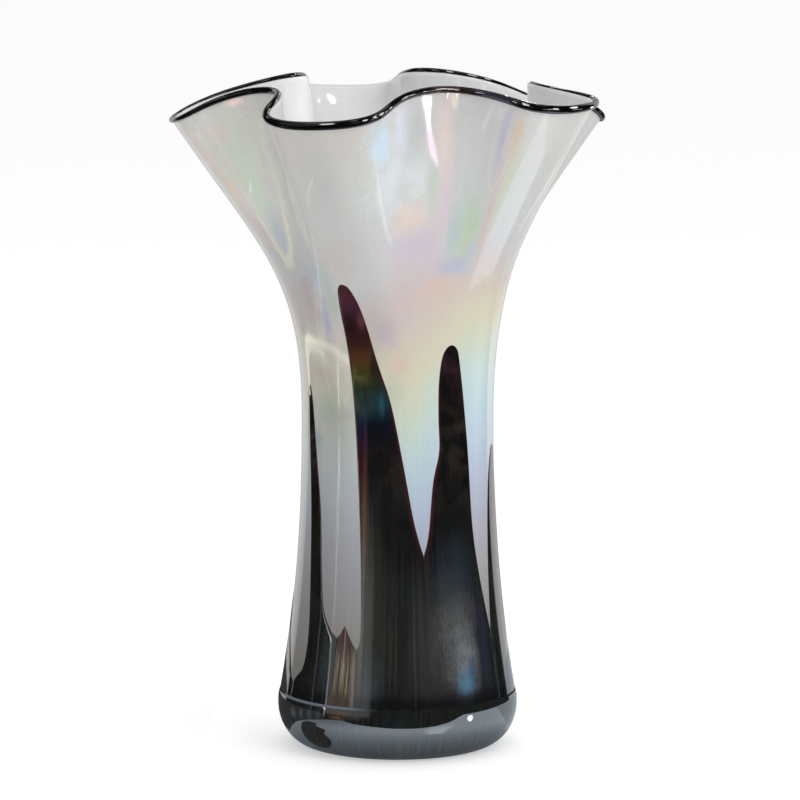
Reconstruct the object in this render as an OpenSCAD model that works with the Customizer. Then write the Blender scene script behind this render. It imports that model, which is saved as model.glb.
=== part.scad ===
// Hand blown vase: a white opal bubble drawn up into a wide ruffled mouth. It sits in a heavy cup of dark
// glass, tongues of dark glass run up its wall like flames, and a black glass thread is melted round the
// rim. Millimetres, +Z up, front towards -Y. The origin is the centre of the foot, on the surface that the
// vase stands on. An angle on the wall is counted from the front, towards +X.

/* [Body] */
// Height of the rim's line at its highest fold
rim_h = 298.5; // [294:0.5:306]
// Height of the waist, where the wall starts to flare
waist_h = 150; // [145:1:155]
// Radius of the opal wall at the waist
waist_r = 42.8; // [41:0.1:44]
// Largest radius of the opal wall, low in the dark cup
belly_r = 52.6; // [51:0.1:53]
// Height of that largest radius
belly_h = 24.6; // [24:0.1:25]
// Height of the underside of the opal bubble
bubble_h = 13; // [11:0.5:15]
// How quickly the wall draws in above the belly
taper = 2.25; // [2:0.05:2.5]

/* [Glass thickness] */
// Opal glass in the floor
floor_t = 5; // [4:0.5:6]
// Opal wall at the waist
waist_t = 3; // [2.4:0.1:3.4]
// Opal wall at the rim
rim_t = 2; // [1.6:0.1:2.2]
// Dark glass of a flame at its root and along its middle
flame_t = 0.9; // [0.7:0.1:1.2]
// Dark glass at a flame's free edge
flame_edge_t = 0.2; // [0.15:0.05:0.3]

/* [Dark cup] */
// Radius of the foot, where the cup meets the table
foot_r = 38; // [34:1:40]
// Largest radius of the cup
cup_r = 53.7; // [53.5:0.1:54.5]
// Height of that largest radius
cup_swell_h = 19; // [17:0.5:21]
// Height of the cup's top edge
cup_h = 25.4; // [25:0.1:27]
// Radius of the polished hollow under the foot
pontil_r = 14; // [10:1:20]
// Depth of that hollow
pontil_depth = 1.5; // [1:0.5:2]

/* [Rim] */
// Radius of the black thread's section where the thread is fullest
thread_r = 2.1; // [1.8:0.1:2.4]
// How much a lobe's flanks curl round towards the fold beside it
curl = 0.6; // [0.2:0.02:0.7]
// How much broader a lobe is than a plain wave
broad = 0.6; // [0:0.1:0.8]
// How far the wall climbs straight up from the waist before it turns
neck_pull = 62; // [55:1:68]
// How far back from the rim the wall already leans as the rim does
rim_pull = 70; // [60:1:75]

/* [Hidden] */

// The rim's line, lobe and fold by turns: angle, radius, drop below rim_h, lean out from the vertical, and
// how full the thread is there
RIM = [
    [-90, 100, 17.5, 34, 0.5], [-52, 70, 1.5, 2, 0.75],
    [-25, 99, 13, 30, 1], [19, 60, 0, 0, 0.75],
    [53, 95.5, 8.5, 30, 1], [97, 60, 2, 0, 0.35],
    [111.5, 97.5, 20, 38, 0.8], [168, 55, 0.5, 0, 0.95],
    [192, 88, 10, 42, 0.3], [239, 55, 1, 2, 0.95]
];

// Each flame's left and right sides, as height and angle, from the valley beside it to its tip
FLAMES = [
    [[[32, -65], [34, -61], [38, -57.3], [46, -55.4], [58, -55.5], [87, -59], [112, -61.5],
      [140, -64.5], [160, -65], [164.3, -64], [165, -63]],
     [[55, -34], [59.5, -39.5], [69, -45], [88, -48.5], [110, -51], [136, -56.5], [158, -60.5],
      [163.8, -61.9], [165, -63]]],
    [[[50.5, -21.8], [53, -20.5], [62, -20], [97, -21.7], [134, -24.3], [170, -27.3], [197, -29.3],
      [208, -28.7], [212.2, -27.3], [213, -25.6]],
     [[92, 15], [99, 12.2], [110, 8.8], [135, 2.8], [160, -4], [180, -12.5], [203, -19.9],
      [211.3, -23.4], [213, -25.6]]],
    [[[92, 15], [102, 18.2], [124, 21.2], [138, 25.2], [152, 24.8], [168, 24.6], [179, 25.8],
      [183.8, 28.4], [185, 31.4]],
     [[56, 59.5], [65, 57], [88, 51.5], [105, 48.8], [133, 46.7], [160, 42.5], [179, 37.6],
      [183.8, 34.6], [185, 31.4]]],
    [[[56, 59.5], [66, 60.7], [82, 62.7], [99, 64.8], [113, 66.8], [124, 69], [133, 72.5],
      [136.2, 74.6], [137, 76.7]],
     [[62, 100], [68, 96], [80, 93], [94, 90.5], [108, 88], [122, 85], [133, 81], [136.2, 79],
      [137, 76.7]]],
    [[[62, 100], [74, 104], [92, 108], [112, 111], [134, 114], [156, 116], [171, 118.5],
      [175.1, 120.2], [176, 122]],
     [[84, 142], [92, 139], [104, 136], [120, 133], [138, 130], [156, 127.5], [170, 125],
      [175.1, 123.6], [176, 122]]],
    [[[84, 142], [96, 146], [114, 150], [136, 154], [158, 157], [180, 159.5], [197, 162],
      [202, 164], [203, 166]],
     [[60, 190], [74, 186], [96, 182], [120, 178.5], [146, 175.5], [172, 172.5], [195, 169.5],
      [202, 168], [203, 166]]],
    [[[60, 190], [70, 194], [84, 198], [100, 201], [116, 203], [132, 204.5], [146, 206.5],
      [150.2, 208.2], [151, 210]],
     [[74, 228], [82, 225], [92, 222.5], [104, 220], [118, 217.5], [132, 215], [146, 212.5],
      [150.2, 211.6], [151, 210]]],
    [[[74, 228], [80, 231], [88, 234], [97, 237], [107, 239], [117, 241], [125, 243],
      [128.3, 244.4], [129, 246]],
     [[32, 295], [34, 292], [40, 288], [50, 280], [64, 268], [84, 258], [112, 251.4],
      [127, 248], [129, 246]]]
];

// The two sides of the streak between the first two flames, in the same way
EMBER = [
    [[55, -34], [56.6, -32], [58.8, -30.5], [60.5, -29.2]],
    [[50.5, -21.8], [52.6, -24], [56, -26.4], [60.5, -29.2]]
];

ROOT_SHARE = 0.25;      // part of a side's run that lies below its valley
SEAM_FADE = 10;         // how far below a valley the two flames have grown to full thickness
TIP_T = 0.5;            // thickness at a flame's tip, as a share of the whole
SLICE_ANGLE = 4;        // width of the wall's facets
LEVEL_STEPS = 14;       // halvings in the search for a height on the flared wall
STEP_ANGLE = 0.5;       // steps for the wall's slopes
STEP_ROW = 0.01;

OPAL = "#eceae8";
DARK = "#1d1a1e";
EMBER_BROWN = "#5a4438";
BLACK = "#0b0b0d";

function mix(a, b, t) = a + (b - a) * t;
function clamp(t) = min(max(t, 0), 1);

// A curve through the points p, for t from 0 to 1
function spline(p, t) =
    let (last = len(p) - 1, i = min(floor(t * last), last - 1), u = t * last - i,
         b = p[i], c = p[i + 1],
         a = i > 0 ? p[i - 1] : 2 * b - c,
         d = i + 2 <= last ? p[i + 2] : 2 * c - b)
    (2 * b + (c - a) * u + (2 * a - 5 * b + 4 * c - d) * u * u + (3 * b - a - 3 * c + d) * pow(u, 3)) / 2;

// The rim's line at an angle: angle, radius, height, lean and the thread's fullness
function knot(i) = i < len(RIM) ? RIM[i] : RIM[0] + [360, 0, 0, 0, 0];
function wave(t, wide) = (1 - cos(180 * t)) / 2 + wide * pow(sin(180 * t), 2) / 4;
function turn(angle) = angle - 360 * floor((angle - RIM[0][0]) / 360);
function span_of(angle, i = 0) = angle < knot(i + 1)[0] ? i : span_of(angle, i + 1);
function rim_line(angle) =
    let (i = span_of(angle), p = knot(i), q = knot(i + 1), t = (angle - p[0]) / (q[0] - p[0]),
         lobe = i % 2 == 0 ? p : q, fold = i % 2 == 0 ? q : p, up = i % 2 == 0 ? 1 - t : t,
         w = wave(up, broad))
    [mix(p[0], q[0], t + curl * sin(360 * t) / (2 * PI)), mix(fold[1], lobe[1], w),
     rim_h - mix(fold[2], lobe[2], wave(up, 0)), mix(fold[3], lobe[3], w),
     mix(fold[4], lobe[4], wave(up, 0))];

// The outer face of the opal wall. v is -1 at the centre of the underside, 0 at the belly, 1 at the waist
// and 2 at the rim.
function on_axis(r, angle, z) = [r * sin(angle), -r * cos(angle), z];
function under(v) = [belly_r * cos(90 * v), belly_h + (belly_h - bubble_h) * sin(90 * v)];
function body(v) = [mix(waist_r, belly_r, pow(1 - v, taper)), mix(belly_h, waist_h, v)];
function flare(angle, u) =
    let (rim = rim_line(turn(angle)),
         b = pow(1 - u, 2) * (1 + 2 * u), c = 3 * u * u * (1 - u), d = pow(u, 3),
         rise = 3 * u * pow(1 - u, 2) * neck_pull)
    on_axis(b * waist_r + c * (rim[1] - rim_pull * sin(rim[3])) + d * rim[1],
            angle + (c + d) * (rim[0] - turn(angle)),
            b * waist_h + rise + c * (rim[2] - rim_pull * cos(rim[3])) + d * rim[2]);
function wall(angle, v) =
    v > 1 ? flare(angle, v - 1) : let (p = v < 0 ? under(v) : body(v)) on_axis(p[0], angle, p[1]);

// Directions at a point of the wall: up along it, and out from it
function climb(angle, v) =
    let (d = wall(angle, min(v + STEP_ROW, 2)) - wall(angle, v - STEP_ROW)) d / norm(d);
function outward(angle, v) =
    let (d = cross(wall(angle + STEP_ANGLE, v) - wall(angle - STEP_ANGLE, v), climb(angle, v))) d / norm(d);
function raised(angle, v, t) = wall(angle, v) + outward(angle, v) * t;

// The row v of the wall at a height above the belly
function row_at(angle, z) = z <= waist_h ? (z - belly_h) / (waist_h - belly_h) : halve(angle, z, 1, 2);
function halve(angle, z, low, high, n = 0) =
    let (mid = (low + high) / 2)
    n == LEVEL_STEPS ? mid : wall(angle, mid)[2] < z ? halve(angle, z, mid, high, n + 1)
                                                     : halve(angle, z, low, mid, n + 1);

// Angles of the wall's facets: each lobe's and fold's crest is one of them
SLICES = [
    for (i = [0 : len(RIM) - 1])
        let (width = knot(i + 1)[0] - knot(i)[0], n = max(6, round(width / SLICE_ANGLE)))
            for (j = [0 : n - 1]) knot(i)[0] + width * j / n
];
function rows(below, body_rows, flare_rows) = concat(
    [for (i = [1 : below]) -1 + i / below],
    [for (i = [1 : body_rows]) i / body_rows],
    [for (i = [1 : flare_rows]) 1 + i / flare_rows]
);
function glass_t(v) = v < 0 ? mix(waist_t, floor_t, -v) : v < 1 ? waist_t : mix(waist_t, rim_t, v - 1);

// Two triangles for the square of corners a, b, c, d
function quad(a, b, c, d) = [[a, b, c], [a, c, d]];

module opal_body() {
    outer = rows(5, 8, 13);
    inner = rows(4, 6, 11);
    n = len(SLICES);
    outer_points = [for (v = outer, s = SLICES) wall(s, v)];
    inner_points = [for (v = inner, s = SLICES) raised(s, v, -glass_t(v))];
    first_inner = len(outer_points);
    outer_pole = first_inner + len(inner_points);
    inner_pole = outer_pole + 1;
    function ring(start, i, j) = start + i * n + j % n;
    outer_faces = [for (i = [0 : len(outer) - 2], j = [0 : n - 1])
        each quad(ring(0, i, j), ring(0, i + 1, j), ring(0, i + 1, j + 1), ring(0, i, j + 1))];
    inner_faces = [for (i = [0 : len(inner) - 2], j = [0 : n - 1])
        each quad(ring(first_inner, i, j), ring(first_inner, i, j + 1),
                  ring(first_inner, i + 1, j + 1), ring(first_inner, i + 1, j))];
    rim_faces = [for (j = [0 : n - 1])
        each quad(ring(0, len(outer) - 1, j), ring(first_inner, len(inner) - 1, j),
                  ring(first_inner, len(inner) - 1, j + 1), ring(0, len(outer) - 1, j + 1))];
    pole_faces = [for (j = [0 : n - 1]) each [
        [outer_pole, ring(0, 0, j), ring(0, 0, j + 1)],
        [inner_pole, ring(first_inner, 0, j + 1), ring(first_inner, 0, j)]
    ]];
    color(OPAL)
    polyhedron(
        concat(outer_points, inner_points, [[0, 0, bubble_h], [0, 0, bubble_h + floor_t]]),
        concat(outer_faces, inner_faces, rim_faces, pole_faces)
    );
}

module base_cup() {
    outer_arc = [for (a = [0 : 9 : 90])
        [foot_r + (cup_r - foot_r) * sin(a), cup_swell_h * (1 - cos(a))]];
    inner_arc = [for (v = [0 : -0.1 : -1]) under(v)];
    top_r = body((cup_h - belly_h) / (waist_h - belly_h))[0];
    shoulder = [for (t = [0.25 : 0.25 : 1])
        [mix(cup_r, top_r + flame_t, t * t), mix(cup_swell_h, cup_h, t)]];
    color(DARK)
    rotate_extrude($fn = 180)
    polygon(concat(
        [[0, pontil_depth], [pontil_r, pontil_depth], [pontil_r + pontil_depth, 0]],
        outer_arc,
        shoulder,
        [[top_r, cup_h]],
        inner_arc
    ));
}

// A point of a flame's side: straight up the seam to the valley, then along the side to the tip
function side_point(side, t) =
    t < ROOT_SHARE ? [mix(cup_h, side[0][0], t / ROOT_SHARE), side[0][1]]
                   : spline(side, (t - ROOT_SHARE) / (1 - ROOT_SHARE));
// Thickness at a flame's side: full in the seam with its neighbour, thin where the side is free
function side_t(side, z) = mix(flame_edge_t, flame_t, clamp((side[0][0] - z) / SEAM_FADE));

// A tongue of dark glass on the opal wall between two sides
module flame(sides, across, along, tip_width = 0.02) {
    grid = [for (i = [0 : along]) let (t = (1 - tip_width) * i / along,
            l = side_point(sides[0], t), r = side_point(sides[1], t)) [
        for (j = [0 : across]) let (x = j / across, p = mix(l, r, x), edge = pow(abs(2 * x - 1), 3),
                full = flame_t * mix(1, TIP_T, pow(t, 4)),
                free = x < 0.5 ? side_t(sides[0], l[0]) : side_t(sides[1], r[0]))
            [p[1], row_at(p[1], p[0]), mix(full, free, edge)]
    ]];
    low = [for (row = grid, p = row) wall(p[0], p[1])];
    high = [for (row = grid, p = row) raised(p[0], p[1], p[2])];
    n = across + 1;
    top = len(low);
    faces = concat(
        [for (i = [0 : along - 1], j = [0 : across - 1]) each concat(
            quad(top + i * n + j, top + (i + 1) * n + j, top + (i + 1) * n + j + 1, top + i * n + j + 1),
            quad(i * n + j, i * n + j + 1, (i + 1) * n + j + 1, (i + 1) * n + j))],
        [for (i = [0 : along - 1]) each concat(
            quad(i * n, (i + 1) * n, top + (i + 1) * n, top + i * n),
            quad(i * n + across, top + i * n + across, top + (i + 1) * n + across, (i + 1) * n + across))],
        [for (j = [0 : across - 1]) each concat(
            quad(j, top + j, top + j + 1, j + 1),
            quad(along * n + j, along * n + j + 1, top + along * n + j + 1, top + along * n + j))]
    );
    polyhedron(concat(low, high), faces);
}

module dark_flame(number) {
    color(DARK)
    flame(FLAMES[number - 1], 6, 14);
}

module ember_streak() {
    color(EMBER_BROWN)
    flame(EMBER, 4, 7);
}

// The black thread hooks over the end of the opal wall: its section is oval, less the wall's corner
function thread_section(full) =
    let (reach = thread_r * (1 + full) / 2)
    concat([for (a = [-90 : 45 : 180]) [reach * cos(a), thread_r * full * sin(a)]],
           [[-0.98 * min(rim_t, reach), 0], [0, 0]]);

module lip_wrap() {
    n = len(thread_section(1));
    points = [for (s = SLICES) let (out = outward(s, 2), up = climb(s, 2))
        for (p = thread_section(rim_line(turn(s))[4])) wall(s, 2) + p[0] * out + p[1] * up];
    function at(i, j) = (i % len(SLICES)) * n + j % n;
    color(BLACK)
    polyhedron(points, [for (i = [0 : len(SLICES) - 1], j = [0 : n - 1])
        each quad(at(i, j), at(i, j + 1), at(i + 1, j + 1), at(i + 1, j))]);
}

base_cup();
opal_body();
dark_flame(1);  // flame_1
dark_flame(2);  // flame_2
dark_flame(3);  // flame_3
dark_flame(4);  // flame_4
dark_flame(5);  // flame_5
dark_flame(6);  // flame_6
dark_flame(7);  // flame_7
dark_flame(8);  // flame_8
ember_streak();
lip_wrap();
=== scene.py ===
"""Looks of the hand blown ruffled vase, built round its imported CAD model.

Lengths in the design functions are millimetres, in the row's frame: +Z up, front towards -Y, origin at
the centre of the foot. An angle on the wall is counted in degrees from the front, towards +X. The wall's
row v is -1 at the centre of the bubble's underside, 0 at its belly, 1 at the waist and 2 at the rim.
"""
import math

import bpy
import numpy as np
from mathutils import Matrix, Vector


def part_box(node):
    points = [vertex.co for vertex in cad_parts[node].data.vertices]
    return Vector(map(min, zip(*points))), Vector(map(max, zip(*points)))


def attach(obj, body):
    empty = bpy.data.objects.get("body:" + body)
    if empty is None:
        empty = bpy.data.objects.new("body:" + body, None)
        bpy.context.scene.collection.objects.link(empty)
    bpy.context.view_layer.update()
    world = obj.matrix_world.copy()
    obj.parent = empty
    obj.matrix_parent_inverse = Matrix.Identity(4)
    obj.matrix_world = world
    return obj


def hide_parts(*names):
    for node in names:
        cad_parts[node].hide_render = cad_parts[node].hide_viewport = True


MM = 0.001
WHITE = (1, 1, 1, 1)

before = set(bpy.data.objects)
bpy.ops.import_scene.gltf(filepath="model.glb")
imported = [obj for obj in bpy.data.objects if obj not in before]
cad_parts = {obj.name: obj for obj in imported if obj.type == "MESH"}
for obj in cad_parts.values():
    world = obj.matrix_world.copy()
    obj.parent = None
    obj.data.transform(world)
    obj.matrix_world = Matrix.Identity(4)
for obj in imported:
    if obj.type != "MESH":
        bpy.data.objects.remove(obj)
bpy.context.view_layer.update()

# ---------------- sizes, from the frame and the design
CUP_LOW, CUP_HIGH = (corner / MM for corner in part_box("base_cup"))
OPAL_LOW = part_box("opal_body")[0] / MM
THREAD_R = 2.1
THREAD_INSET = 0.36
# The share of the wall's end that the thread covers
WALL_COVER = 0.98
FOOT_R = 38.0
CUP_R = (CUP_HIGH.x - CUP_LOW.x) / 2
CUP_H = CUP_HIGH.z
CUP_SWELL_H = 19.0
PONTIL_R = 14.0
PONTIL_DEPTH = 1.5
RIM_H = 298.5
BUBBLE_H = OPAL_LOW.z
BELLY_R = 52.6
BELLY_H = 24.6
WAIST_R = 42.8
WAIST_H = 150.0
TAPER = 2.25
CUP_TOP_R = WAIST_R + (BELLY_R - WAIST_R) * ((WAIST_H - CUP_H) / (WAIST_H - BELLY_H)) ** TAPER
# Thicknesses: of the opal glass at three places, and of a flame and its free edge
FLOOR_T, WAIST_T, RIM_T = 5.0, 3.0, 2.0
FLAME_T = 0.3
FLAME_EDGE_T = 0.03
# How far the folds curl over, and how broad the lobes are
CURL = 0.6
BROAD = 0.6
# How strongly the flare's curve keeps its direction at the waist and at the rim
NECK_PULL = 62.0
RIM_PULL = 70.0
# Along a flame: the share of its rows in the seam, the height over which its edge thins out above the
# valley, its tip's share of the full thickness, and how its rows crowd towards the tip
ROOT_SHARE = 0.25
SEAM_FADE = 10.0
TIP_T = 0.5
TIP_CROWDING = 1.25
TIP_END = 0.9995
# How close to its edges a flame stays full
EDGE_POWER = 24
# Small steps that give directions on the wall
STEP_V = 0.004
STEP_ANGLE = 0.2

# The rim's line, lobe and fold by turns: angle, radius, drop below the highest fold, lean in degrees, and
# how full the thread is there
RIM = np.array([
    (-90, 100, 17.5, 34, 0.5), (-52, 70, 1.5, 2, 0.75),
    (-25, 99, 13, 30, 1), (19, 60, 0, 0, 0.75),
    (53, 95.5, 8.5, 30, 1), (97, 60, 2, 0, 0.35),
    (111.5, 97.5, 20, 38, 0.8), (168, 55, 0.5, 0, 0.95),
    (192, 88, 10, 42, 0.3), (239, 55, 1, 2, 0.95),
], float)

# Each flame's left and right sides, as height and angle, from the valley beside it to its tip
FLAMES = [
    ([(32, -65), (34, -61), (38, -57.3), (46, -55.4), (58, -55.5), (87, -59), (112, -61.5),
      (140, -64.5), (160, -65), (164.3, -64), (165, -63)],
     [(55, -34), (59.5, -39.5), (69, -45), (88, -48.5), (110, -51), (136, -56.5), (158, -60.5),
      (163.8, -61.9), (165, -63)]),
    ([(50.5, -21.8), (53, -20.5), (62, -20), (97, -21.7), (134, -24.3), (170, -27.3), (197, -29.3),
      (208, -28.7), (212.2, -27.3), (213, -25.6)],
     [(92, 15), (99, 12.2), (110, 8.8), (135, 2.8), (160, -4), (180, -12.5), (203, -19.9),
      (211.3, -23.4), (213, -25.6)]),
    ([(92, 15), (102, 18.2), (124, 21.2), (138, 25.2), (152, 24.8), (168, 24.6), (179, 25.8),
      (183.8, 28.4), (185, 31.4)],
     [(56, 59.5), (65, 57), (88, 51.5), (105, 48.8), (133, 46.7), (160, 42.5), (179, 37.6),
      (183.8, 34.6), (185, 31.4)]),
    ([(56, 59.5), (66, 60.7), (82, 62.7), (99, 64.8), (113, 66.8), (124, 69), (133, 72.5),
      (136.2, 74.6), (137, 76.7)],
     [(62, 100), (68, 96), (80, 93), (94, 90.5), (108, 88), (122, 85), (133, 81), (136.2, 79),
      (137, 76.7)]),
    ([(62, 100), (74, 104), (92, 108), (112, 111), (134, 114), (156, 116), (171, 118.5),
      (175.1, 120.2), (176, 122)],
     [(84, 142), (92, 139), (104, 136), (120, 133), (138, 130), (156, 127.5), (170, 125),
      (175.1, 123.6), (176, 122)]),
    ([(84, 142), (96, 146), (114, 150), (136, 154), (158, 157), (180, 159.5), (197, 162),
      (202, 164), (203, 166)],
     [(60, 190), (74, 186), (96, 182), (120, 178.5), (146, 175.5), (172, 172.5), (195, 169.5),
      (202, 168), (203, 166)]),
    ([(60, 190), (70, 194), (84, 198), (100, 201), (116, 203), (132, 204.5), (146, 206.5),
      (150.2, 208.2), (151, 210)],
     [(74, 228), (82, 225), (92, 222.5), (104, 220), (118, 217.5), (132, 215), (146, 212.5),
      (150.2, 211.6), (151, 210)]),
    ([(74, 228), (80, 231), (88, 234), (97, 237), (107, 239), (117, 241), (125, 243),
      (128.3, 244.4), (129, 246)],
     [(32, 295), (34, 292), (40, 288), (50, 280), (64, 268), (84, 258), (112, 251.4),
      (127, 248), (129, 246)]),
]
EMBER = (
    [(55, -34), (56.6, -32), (58.8, -30.5), (60.5, -29.2)],
    [(50.5, -21.8), (52.6, -24), (56, -26.4), (60.5, -29.2)],
)


# ---------------- the wall's shape
def mix(a, b, t):
    return a + (b - a) * t


def around(r, angle, z):
    """Points at a radius and a height, and at an angle in radians from the front."""
    return np.stack(np.broadcast_arrays(r * np.sin(angle), -r * np.cos(angle), z), -1)


def wave(t, wide):
    """0 to 1 and level at both ends, and broader near 1 when wide is more than 0."""
    return (1 - np.cos(np.pi * t)) / 2 + wide * np.sin(np.pi * t) ** 2 / 4


def rim_line(angle):
    """The turned angle, and the rim's angle, radius, height and lean and the thread's fullness there."""
    knots = np.vstack([RIM, RIM[0] + [360, 0, 0, 0, 0]])
    turned = angle - 360 * np.floor((angle - RIM[0, 0]) / 360)
    i = np.clip(np.searchsorted(knots[:, 0], turned, side="right") - 1, 0, len(RIM) - 1)
    p, q = knots[i], knots[i + 1]
    t = (turned - p[..., 0]) / (q[..., 0] - p[..., 0])
    even = i % 2 == 0
    lobe, fold = np.where(even[..., None], p, q), np.where(even[..., None], q, p)
    up = np.where(even, 1 - t, t)
    w = wave(up, BROAD)
    rim_angle = mix(p[..., 0], q[..., 0], t + CURL * np.sin(2 * np.pi * t) / (2 * np.pi))
    height = RIM_H - mix(fold[..., 2], lobe[..., 2], wave(up, 0))
    radius, lean = mix(fold[..., 1], lobe[..., 1], w), np.radians(mix(fold[..., 3], lobe[..., 3], w))
    return turned, rim_angle, radius, height, lean, mix(fold[..., 4], lobe[..., 4], wave(up, 0))


def wall(angle, v):
    """Points of the opal wall's outer face."""
    angle, v = np.broadcast_arrays(np.asarray(angle, float), np.asarray(v, float))
    below, body, u = np.clip(v, -1, 0), np.clip(v, 0, 1), np.clip(v - 1, 0, 1)
    r = np.where(v < 0, BELLY_R * np.cos(np.pi / 2 * below), mix(WAIST_R, BELLY_R, (1 - body) ** TAPER))
    under = BELLY_H + (BELLY_H - BUBBLE_H) * np.sin(np.pi / 2 * below)
    z = np.where(v < 0, under, mix(BELLY_H, WAIST_H, body))
    turned, rim_angle, rim_r, rim_z, lean, _ = rim_line(angle)
    b, c, d = (1 - u) ** 2 * (1 + 2 * u), 3 * u * u * (1 - u), u ** 3
    rise = 3 * u * (1 - u) ** 2 * NECK_PULL
    r = np.where(v > 1, b * WAIST_R + c * (rim_r - RIM_PULL * np.sin(lean)) + d * rim_r, r)
    z = np.where(v > 1, b * WAIST_H + rise + c * (rim_z - RIM_PULL * np.cos(lean)) + d * rim_z, z)
    a = np.radians(np.where(v > 1, angle + (c + d) * (rim_angle - turned), angle))
    return around(r, a, z)


def unit(d):
    """Directions of length 1."""
    return d / np.linalg.norm(d, axis=-1, keepdims=True)


def climb(angle, v):
    """The direction up the wall."""
    return unit(wall(angle, np.minimum(v + STEP_V, 2)) - wall(angle, v - STEP_V))


def outward(angle, v):
    """The direction out of the wall."""
    return unit(np.cross(wall(angle + STEP_ANGLE, v) - wall(angle - STEP_ANGLE, v), climb(angle, v)))


def row_at(angle, z):
    """The row v at heights z above the belly, by halving on the flared part."""
    low, high = np.ones_like(z), np.full_like(z, 2.0)
    for _ in range(24):
        middle = (low + high) / 2
        under = wall(angle, middle)[..., 2] < z
        low, high = np.where(under, middle, low), np.where(under, high, middle)
    return np.where(z <= WAIST_H, (z - BELLY_H) / (WAIST_H - BELLY_H), (low + high) / 2)


def glass_t(v):
    """The opal wall's thickness at a row."""
    return np.where(v < 0, mix(WAIST_T, FLOOR_T, -v), np.where(v < 1, WAIST_T, mix(WAIST_T, RIM_T, v - 1)))


def spline(points, t):
    """A curve through the points, for t from 0 to 1."""
    p = np.asarray(points, float)
    last = len(p) - 1
    ends = np.vstack([2 * p[0] - p[1], p, 2 * p[-1] - p[-2]])
    i = np.minimum((t * last).astype(int), last - 1)
    u = (t * last - i)[..., None]
    a, b, c, d = ends[i], ends[i + 1], ends[i + 2], ends[i + 3]
    square, cube = 2 * a - 5 * b + 4 * c - d, 3 * b - a - 3 * c + d
    return (2 * b + (c - a) * u + square * u ** 2 + cube * u ** 3) / 2


# ---------------- meshes
def triples(*parts):
    """A list of three numbers for every point, from three arrays of one grid."""
    return np.stack(np.broadcast_arrays(*parts), -1).reshape(-1, 3)


def corner_places(faces, place):
    """Each face corner's place. A face that crosses the back has its angles brought to one side."""
    sizes = np.array([len(f) for f in faces])
    corners = np.asarray(place, float)[np.concatenate([np.asarray(f, int) for f in faces])]
    starts = np.concatenate([[0], np.cumsum(sizes)[:-1]])
    low = np.minimum.reduceat(corners[:, 0], starts)
    high = np.maximum.reduceat(corners[:, 0], starts)
    crossing = np.repeat(high - low > 180, sizes)
    corners[:, 0] += np.where(crossing & (corners[:, 0] < 0), 360, 0)
    return corners.ravel()


def put_in_scene(name, data):
    thing = bpy.data.objects.new(name, data)
    bpy.context.scene.collection.objects.link(thing)
    return thing


def make_mesh(name, points, faces, place, slots=None):
    """An object from points in mm. place is each point's (angle, row, spare), kept for the materials."""
    mesh = bpy.data.meshes.new(name)
    mesh.from_pydata((np.asarray(points) * MM).tolist(), [], [list(f) for f in faces])
    kept = mesh.attributes.new("place", "FLOAT_VECTOR", "CORNER")
    kept.data.foreach_set("vector", corner_places(faces, place))
    mesh.polygons.foreach_set("use_smooth", [True] * len(mesh.polygons))
    if slots is not None:
        mesh.polygons.foreach_set("material_index", slots)
    mesh.update()
    return put_in_scene(name, mesh)


def grid_faces(rows, columns, start=0, closed=False, flip=False):
    """Squares between the points of a grid, as an array."""
    i, j = np.meshgrid(np.arange(rows - 1), np.arange(columns if closed else columns - 1), indexing="ij")
    k = (j + 1) % columns
    low, high = start + i * columns, start + (i + 1) * columns
    square = np.stack([low + j, low + k, high + k, high + j], -1).reshape(-1, 4)
    return square[:, ::-1] if flip else square


def strip_faces(a, b, flip=False):
    """Squares between two runs of point numbers."""
    square = np.stack([a[:-1], a[1:], b[1:], b[:-1]], -1)
    return square[:, ::-1] if flip else square


def end_fans(count, n, last):
    """Triangles from a closed grid's first and last ring to centre points, the last two of its points."""
    ring = [(j, (j + 1) % n) for j in range(n)]
    return [(count - 2, k, j) for j, k in ring] + [(count - 1, last + j, last + k) for j, k in ring]


def opal_body():
    """The opal bubble: outer and inner faces, closed at the rim under the thread."""
    angles = np.arange(-180, 180, 0.75)
    n = len(angles)
    below, body, flare = np.linspace(-0.97, 0, 24), np.linspace(0, 1, 60), np.linspace(1, 2, 110)
    outer = np.concatenate([below, body[1:], flare[1:]])
    inner = outer[::-1]
    a_out, v_out = np.meshgrid(angles, outer)
    a_in, v_in = np.meshgrid(angles, inner)
    points = np.concatenate([
        wall(a_out, v_out).reshape(-1, 3),
        (wall(a_in, v_in) - outward(a_in, v_in) * glass_t(v_in)[..., None]).reshape(-1, 3),
        [(0, 0, BUBBLE_H), (0, 0, BUBBLE_H + FLOOR_T)],
    ])
    place = np.concatenate([
        triples(a_out, v_out, 0), triples(a_in, v_in, 1), [(0, -1, 0), (0, -1, 1)],
    ])
    faces = grid_faces(len(outer) + len(inner), n, closed=True)
    rows = np.arange(len(faces)) // n
    slots = (rows >= len(outer)).astype(int).tolist()
    faces = faces.tolist() + end_fans(len(points), n, n * (len(outer) + len(inner) - 1))
    return make_mesh("opal_bubble", points, faces, place, slots + [0] * n + [1] * n)


def side_points(side, t):
    """Straight up the seam to the valley, then along the side to the tip."""
    valley = side[0]
    seam = np.stack([mix(CUP_H, valley[0], t / ROOT_SHARE), np.full_like(t, valley[1])], -1)
    free = spline(side, np.clip((t - ROOT_SHARE) / (1 - ROOT_SHARE), 0, 1))
    return np.where((t < ROOT_SHARE)[:, None], seam, free)


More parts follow.
